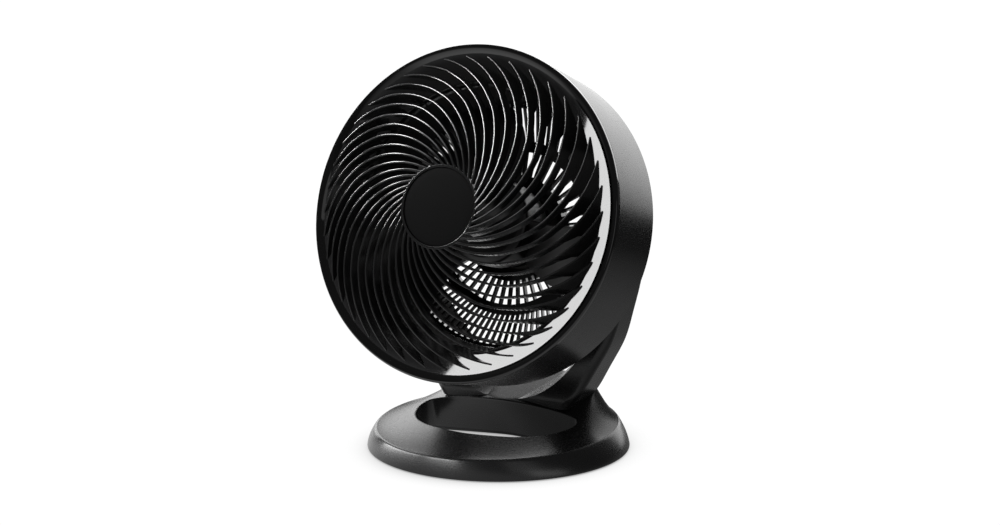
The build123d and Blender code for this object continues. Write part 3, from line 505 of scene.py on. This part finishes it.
def skirt_mesh(segs=360):
    bm = bmesh.new()
    rows = []
    for k in range(segs):
        t = 2 * math.pi * k / segs
        out = Vector((math.cos(t), math.sin(t), 0.0))
        top = skirt_point(1.0, t)
        pts = [skirt_point(0.0, t) - out * 3.4 - Vector((0, 0, 1.6)), skirt_point(0.0, t) - out * 0.95 - Vector((0, 0, 1.6)),
               skirt_point(0.0, t) - out * 0.35 - Vector((0, 0, 1.15)), skirt_point(0.0, t) - out * 0.05 - Vector((0, 0, 0.5))]
        pts += [skirt_point(v, t) for v in (0.0, 0.05, 0.15, 0.3, 0.45, 0.6, 0.75, 0.87, 0.95)]
        pts += [top - out * 0.06 - Vector((0, 0, 0.42)), top - out * 0.2 - Vector((0, 0, 0.16)), top - out * 0.45 - Vector((0, 0, 0.02)),
                top - out * 0.8, top - out * 2.0, top - out * 2.2 - Vector((0, 0, 0.3)), top - out * 2.2 - Vector((0, 0, 6.0)),
                skirt_point(0.45, t) - out * 2.7, skirt_point(0.0, t) - out * 3.4]
        rows.append([bm.verts.new(q * MM) for q in pts])
    n = len(rows[0])
    for k in range(segs):
        a, b = rows[k], rows[(k + 1) % segs]
        for i in range(n):
            j = (i + 1) % n
            bm.faces.new((a[i], b[i], b[j], a[j]))
    return finish_mesh(bm, "base_skirt_skin", 50)


skirt = dress(skirt_mesh(), "skirt", "stand", "black_gloss_plastic", "base_skirt")


def cover_section(s):
    """Centre, half-axes and tilt of the cover's outline at height fraction s."""
    y = EDGE_Y * (1 - s) + TOP_Y * s
    by = EDGE_B * (1 - s) + TOP_B * s
    k = s ** COVER_POWER
    z = EDGE_Z + 0.2 + (TOP_Z - EDGE_Z) * k
    slope = (EDGE_B * EDGE_SLOPE * (1 - k) + TOP_B * TOP_SLOPE * k) / by
    return y, z, by - 0.7 * (1 - s), slope


def cover_height(x, y):
    """Height of the cover above a point, in millimetres."""
    def inside(s):
        yc, _, b, _ = cover_section(s)
        q = (y - yc) / b
        if abs(q) >= 1.0:
            return False
        a = (EDGE_A - 0.7) * (1 - s) + TOP_A * s * (1 + TOP_EGG * q)
        return abs(x) < a * math.sqrt(1 - q * q)
    lo, hi = 0.0, 1.0
    if inside(1.0):
        lo = 1.0
    else:
        for _ in range(26):
            mid = (lo + hi) / 2
            if inside(mid):
                lo = mid
            else:
                hi = mid
    yc, z, _, slope = cover_section(lo)
    return z + slope * (y - yc)


def hole_half(z, grow=0.0):
    f = (z - 2.0) / 46.0
    yc = 30.0 + (2.0 - 30.0) * f
    y1 = 25.0 + (3.4 - 25.0) * f
    y2 = 20.0 + (5.2 - 20.0) * f
    y3 = 14.0 + (5.6 - 14.0) * f
    return [(0, -73.5), (39, -66.8), (63.5, -54.5), (79.5, -38), (89, -18), (91.4, -3),
            (87.5, (y3 + 1.0) * 0.75 + 0.4), (77, y3 + 1.0), (56, y2 - 0.2), (32, y1), (0, yc)]


def hole_loop(z, per=12):
    """Closed outline of the opening at height z, going round once."""
    half = hole_half(z)
    loop = half + [(-x, y) for x, y in half[1:-1]][::-1]
    n = len(loop)
    out = []
    for i in range(n):
        p0, p1, p2, p3 = (Vector(loop[(i + k) % n]) for k in (-1, 0, 1, 2))
        for k in range(per):
            t = k / per
            q = 0.5 * ((2 * p1) + (p2 - p0) * t + (2 * p0 - 5 * p1 + 4 * p2 - p3) * t * t
                       + (3 * p1 - p0 - 3 * p2 + p3) * t ** 3)
            out.append((q.x, q.y))
    return out


def cover_mesh():
    low, high = hole_loop(4.8), hole_loop(60.0)
    n = len(low)

    def wall(i, z):
        f = (z - 4.8) / (60.0 - 4.8)
        return low[i][0] * (1 - f) + high[i][0] * f, low[i][1] * (1 - f) + high[i][1] * f

    bm = bmesh.new()
    rows = []
    for i in range(n):
        # where the wall meets the cover's surface
        z = 45.0
        for _ in range(20):
            x, y = wall(i, z)
            z = 0.5 * z + 0.5 * cover_height(x, y)
        rx, ry = x, y
        # outwards from a point inside the opening to the outer edge
        c = Vector((0.0, -22.0))
        d = (Vector((rx, ry)) - c).normalized()
        lo, hi = 0.0, 400.0
        for _ in range(40):
            mid = (lo + hi) / 2
            q = c + d * mid
            if (q.x / (EDGE_A - 0.7)) ** 2 + ((q.y - EDGE_Y) / (EDGE_B - 0.7)) ** 2 < 1.0:
                lo = mid
            else:
                hi = mid
        edge = c + d * lo
        pts = []
        # inner wall, from below upwards, then a small rounded rim
        for zz in (4.8, 9, 14, 20, 26, 31, 36):
            if zz < z - 4.0:
                x, y = wall(i, zz)
            else:
                zz = z - 4.0
                x, y = wall(i, zz)
            pts.append(Vector((x, y, zz)))
        for down in (2.4, 1.5):
            x, y = wall(i, z - down)
            pts.append(Vector((x, y, z - down)))
        rim = Vector((rx, ry))
        for out_by, down in ((0.10, 0.85), (0.32, 0.42), (0.72, 0.14), (1.3, 0.02)):
            q = rim + d * out_by
            pts.append(Vector((q.x, q.y, cover_height(q.x, q.y) - down)))
        span = (edge - rim).length
        steps = 46
        for k in range(1, steps + 1):
            f = k / steps
            q = rim + d * (1.3 + (span - 1.3 - 0.5) * f)
            pts.append(Vector((q.x, q.y, cover_height(q.x, q.y))))
        # rounded outer edge, down into the skirt
        q = edge
        h = pts[-1].z
        pts.append(Vector((q.x, q.y, h - 0.3)))
        pts.append(Vector((q.x, q.y, h - 0.9)))
        q = edge - d * 1.2
        pts.append(Vector((q.x, q.y, h - 1.4)))
        pts.append(Vector((q.x, q.y, h - 5.0)))
        rows.append([bm.verts.new(p * MM) for p in pts])
    m = len(rows[0])
    for i in range(n):
        a, b = rows[i], rows[(i + 1) % n]
        for k in range(m - 1):
            bm.faces.new((a[k], b[k], b[k + 1], a[k + 1]))
    bmesh.ops.remove_doubles(bm, verts=bm.verts[:], dist=1e-6)
    return finish_mesh(bm, "base_cover_skin", 45)


cover = dress(cover_mesh(), "cover", "stand", "black_satin_plastic", "base_cover")

# the other CAD pieces keep their mesh and get their material
for node, ob in NODES.items():
    if not ob.hide_render:
        ob.data.materials[0] = MAT[NODE_MAT[node]]

# ---------------------------------------------------------------------------
# Camera
# ---------------------------------------------------------------------------
cam_data = bpy.data.cameras.new("camera")
cam_data.sensor_width = 36.0
cam_data.lens = 1530.86 * 36.0 / 1000.0
cam_data.clip_start = 0.05
cam_data.clip_end = 50.0
cam = bpy.data.objects.new("camera", cam_data)
bpy.context.scene.collection.objects.link(cam)
az, el = math.radians(27.915), math.radians(9.399)
back = Vector((math.sin(az) * math.cos(el), -math.cos(az) * math.cos(el), math.sin(el)))
right = Vector((math.cos(az), math.sin(az), 0.0))
target = right * (1.536 * MM) + Vector((0, 0, 195.423 * MM))
cam.location = target + back * 1.6
cam.rotation_euler = (-back).to_track_quat("-Z", "Y").to_euler()
bpy.context.scene.camera = cam

# ---------------------------------------------------------------------------
# Floor, backdrop, light
# ---------------------------------------------------------------------------
scene = bpy.context.scene
scene.view_settings.view_transform = "Standard"
scene.view_settings.look = "None"
scene.view_settings.exposure = 0.0
scene.view_settings.gamma = 1.0

AMBIENT = 0.075                       # even light from all around, seen in no camera ray
FLOOR_LEFT, FLOOR_RIGHT, FLOOR_FRONT = 1.0, 0.20, 0.45   # floor brightness in reflections
MOUTH_LIGHT = 8.2
FIN_LIGHT = 45.0

world = bpy.data.worlds.new("studio")
scene.world = world
world.use_nodes = True
wt = world.node_tree
for n in list(wt.nodes):
    wt.nodes.remove(n)
wo = wt.nodes.new("ShaderNodeOutputWorld")
wm = wt.nodes.new("ShaderNodeMixShader")
lp = wt.nodes.new("ShaderNodeLightPath")
dark = wt.nodes.new("ShaderNodeBackground")
dark.inputs["Color"].default_value = (AMBIENT, AMBIENT, AMBIENT, 1.0)
white = wt.nodes.new("ShaderNodeBackground")
white.inputs["Color"].default_value = (1.0, 1.0, 1.0, 1.0)
white.inputs["Strength"].default_value = 1.05
wt.links.new(lp.outputs["Is Camera Ray"], wm.inputs["Fac"])
wt.links.new(dark.outputs[0], wm.inputs[1])
wt.links.new(white.outputs[0], wm.inputs[2])
wt.links.new(wm.outputs[0], wo.inputs["Surface"])


def grid_floor(name, half, cells):
    bm = bmesh.new()
    bmesh.ops.create_grid(bm, x_segments=cells, y_segments=cells, size=half)
    mesh = bpy.data.meshes.new(name)
    bm.to_mesh(mesh)
    bm.free()
    ob = bpy.data.objects.new(name, mesh)
    scene.collection.objects.link(ob)
    return ob


floor = grid_floor("studio_floor", 6.0, 60)
fm = bpy.data.materials.new("pale_floor")
fm.use_nodes = True
ft = fm.node_tree
for n in list(ft.nodes):
    ft.nodes.remove(n)
fo = ft.nodes.new("ShaderNodeOutputMaterial")
fl = ft.nodes.new("ShaderNodeLightPath")
# seen directly: white, with a soft contact shadow
ao = ft.nodes.new("ShaderNodeAmbientOcclusion")
ao.samples = 12
ao.inputs["Distance"].default_value = 0.07
am = ft.nodes.new("ShaderNodeMapRange")
am.inputs["From Min"].default_value = 0.10
am.inputs["From Max"].default_value = 0.95
am.inputs["To Min"].default_value = 0.42
am.inputs["To Max"].default_value = 1.03
ft.links.new(ao.outputs["AO"], am.inputs["Value"])
fe = ft.nodes.new("ShaderNodeEmission")
fe.inputs["Color"].default_value = (1.0, 1.0, 1.0, 1.0)
ft.links.new(am.outputs["Result"], fe.inputs["Strength"])
# seen in reflections: brighter on the left, where the big light falls
fg = ft.nodes.new("ShaderNodeNewGeometry")
fs = ft.nodes.new("ShaderNodeSeparateXYZ")
ft.links.new(fg.outputs["Position"], fs.inputs[0])
fx = ft.nodes.new("ShaderNodeMapRange")
fx.interpolation_type = "SMOOTHSTEP"
fx.inputs["From Min"].default_value = -0.17
fx.inputs["From Max"].default_value = 0.03
fx.inputs["To Min"].default_value = FLOOR_LEFT
fx.inputs["To Max"].default_value = FLOOR_RIGHT
ft.links.new(fs.outputs["X"], fx.inputs["Value"])
fy = ft.nodes.new("ShaderNodeMapRange")
fy.inputs["From Min"].default_value = -0.16
fy.inputs["From Max"].default_value = 0.0
fy.inputs["To Min"].default_value = FLOOR_FRONT
fy.inputs["To Max"].default_value = FLOOR_RIGHT
ft.links.new(fs.outputs["Y"], fy.inputs["Value"])
fmax = ft.nodes.new("ShaderNodeMath")
fmax.operation = "MAXIMUM"
ft.links.new(fx.outputs["Result"], fmax.inputs[0])
ft.links.new(fy.outputs["Result"], fmax.inputs[1])
flen = ft.nodes.new("ShaderNodeVectorMath")
flen.operation = "LENGTH"
ft.links.new(fg.outputs["Position"], flen.inputs[0])
ffar = ft.nodes.new("ShaderNodeMapRange")
ffar.inputs["From Min"].default_value = 0.35
ffar.inputs["From Max"].default_value = 0.95
ffar.inputs["To Min"].default_value = 1.0
ffar.inputs["To Max"].default_value = 0.12
ft.links.new(flen.outputs["Value"], ffar.inputs["Value"])
fmul = ft.nodes.new("ShaderNodeMath")
fmul.operation = "MULTIPLY"
ft.links.new(fmax.outputs[0], fmul.inputs[0])
ft.links.new(ffar.outputs["Result"], fmul.inputs[1])
fr = ft.nodes.new("ShaderNodeEmission")
fr.inputs["Color"].default_value = (1.0, 1.0, 1.0, 1.0)
ft.links.new(fmul.outputs[0], fr.inputs["Strength"])
fmix = ft.nodes.new("ShaderNodeMixShader")
ft.links.new(fl.outputs["Is Camera Ray"], fmix.inputs["Fac"])
ft.links.new(fr.outputs[0], fmix.inputs[1])
ft.links.new(fe.outputs[0], fmix.inputs[2])
ft.links.new(fmix.outputs[0], fo.inputs["Surface"])
floor.data.materials.append(fm)

AIM = Vector((0.0, 0.0, 0.22))


def direction(az, el):
    """az 0 is towards -Y, positive towards +X."""
    a, e = math.radians(az), math.radians(el)
    return Vector((math.sin(a) * math.cos(e), -math.cos(a) * math.cos(e), math.sin(e)))


def softbox(name, az, el, dist, width, height, radiance, aim=AIM):
    """Rectangular light of an even brightness, facing the object."""
    light = bpy.data.lights.new(name, "AREA")
    light.shape = "RECTANGLE"
    light.size = width
    light.size_y = height
    light.energy = radiance * 4.0 * width * height
    ob = bpy.data.objects.new(name, light)
    ob.location = aim + direction(az, el) * dist
    ob.rotation_euler = (aim - ob.location).to_track_quat("-Z", "Y").to_euler()
    ob.visible_camera = False
    scene.collection.objects.link(ob)
    return ob


# tall white wall to the left
softbox("left_wall", -125, 12, 2.4, 1.3, 2.0, 2.2)
# white wall behind
softbox("back_wall", -174, 12, 3.0, 3.0, 1.9, 1.45)
# soft light high behind on the right
softbox("back_right", 158, 44, 2.2, 0.8, 0.8, 0.65)
# high front left
softbox("front_left", -52, 38, 2.2, 1.1, 0.9, 3.1)
# weak front right
softbox("front_right", 52, 10, 2.6, 1.2, 1.2, 0.35)
# overhead
softbox("top", 0, 88, 2.6, 2.4, 2.4, 0.18)

# a long softbox whose mirror image fills the lower right of the ring's mouth; it lights the mouth alone
MIRROR_D = 1.5
mirror_dir = direction(-18.0, 14.0)
mirror_centre = HEAD_O * MM + mirror_dir * MIRROR_D


def mirror_spot(deg):
    """Where the camera's ray by the mouth at angle deg meets the softbox's plane."""
    a = math.radians(deg)
    rad = HEAD_U * math.cos(a) + HEAD_V * math.sin(a)
    x = head(151.0, deg, -15.3)
    n = HEAD_N * math.cos(math.radians(MOUTH_LEAN)) - rad * math.sin(math.radians(MOUTH_LEAN))
    d = (x - cam.location).normalized()
    r = d - n * 2.0 * d.dot(n)
    return x + r * ((mirror_centre - x).dot(mirror_dir) / r.dot(mirror_dir))


end_a, end_b = mirror_spot(-88.0), mirror_spot(38.0)
along = (end_b - end_a).normalized()
across = along.cross(mirror_dir).normalized()
reach = (mirror_spot(-15.0) - end_a).dot(across)
if reach < 0:
    across, reach = -across, -reach
reach *= 1.25
length = (end_b - end_a).length + 0.24
strip_light = bpy.data.lights.new("mouth_softbox", "AREA")
strip_light.shape = "RECTANGLE"
strip_light.size = reach
strip_light.size_y = length
strip_light.energy = MOUTH_LIGHT * 4.0 * reach * length
strip = bpy.data.objects.new("mouth_softbox", strip_light)
middle = (end_a + end_b) / 2 + across * (reach / 2)
z_axis = across.cross(along)
y_axis = along
if z_axis.dot(mirror_dir) < 0:
    y_axis, z_axis = -along, -z_axis
basis = Matrix((across, y_axis, z_axis)).transposed().to_4x4()
strip.matrix_world = Matrix.Translation(middle) @ basis
strip.visible_camera = False
scene.collection.objects.link(strip)
mouth_only = bpy.data.collections.new("mouth_only")
mouth_only.objects.link(mouth)
strip.light_linking.receiver_collection = mouth_only

# two small hard-edged softboxes on the left that draw the lines along the fins' front edges
fin_light = softbox("fin_softbox", -58, 30, 2.2, 0.45, 0.45, FIN_LIGHT)
fins_only = bpy.data.collections.new("fins_only")
for ob in (fins, hub):
    fins_only.objects.link(ob)
fin_light.light_linking.receiver_collection = fins_only
softbox("fin_softbox_left", -90, 18, 2.2, 0.45, 0.45, FIN_LIGHT).light_linking.receiver_collection = fins_only
# the mouth mirrors the softbox, not the thin fins in front of it
fins.visible_glossy = False

# the high front light and the overhead one are flagged off the ring
off_ring = bpy.data.collections.new("off_ring")
for ob in (mouth, ring, NODES["inner_duct"]):
    off_ring.objects.link(ob)
for link in off_ring.collection_objects:
    link.light_linking.link_state = "EXCLUDE"
for name in ("front_left", "top"):
    bpy.data.objects[name].light_linking.receiver_collection = off_ring

# the wall behind is flagged off the base cover and the grille
off_back = bpy.data.collections.new("off_back")
for ob in (cover, fins, seat):
    off_back.objects.link(ob)
for link in off_back.collection_objects:
    link.light_linking.link_state = "EXCLUDE"
bpy.data.objects["back_wall"].light_linking.receiver_collection = off_back

# two narrower walls behind for the cover, and low softboxes along the skirt's flank
LOW = Vector((0.0, 0.0, 0.03))
for name, only, az, el, dist, width, height, radiance, aim in (
        ("cover_softbox", cover, -168, 22, 3.0, 1.2, 0.8, 0.95, AIM),
        ("cover_softbox_left", cover, -150, 16, 3.0, 1.0, 0.5, 1.05, AIM),
        ("skirt_softbox_left", skirt, -66, 2, 2.0, 1.8, 0.5, 9.0, LOW),
        ("skirt_softbox_front", skirt, -20, 2, 2.0, 1.0, 0.5, 11.0, LOW),
        ("skirt_softbox_right", skirt, 70, 2, 2.0, 1.0, 0.5, 1.2, LOW)):
    one = bpy.data.collections.new(name + "_only")
    one.objects.link(only)
    softbox(name, az, el, dist, width, height, radiance, aim).light_linking.receiver_collection = one
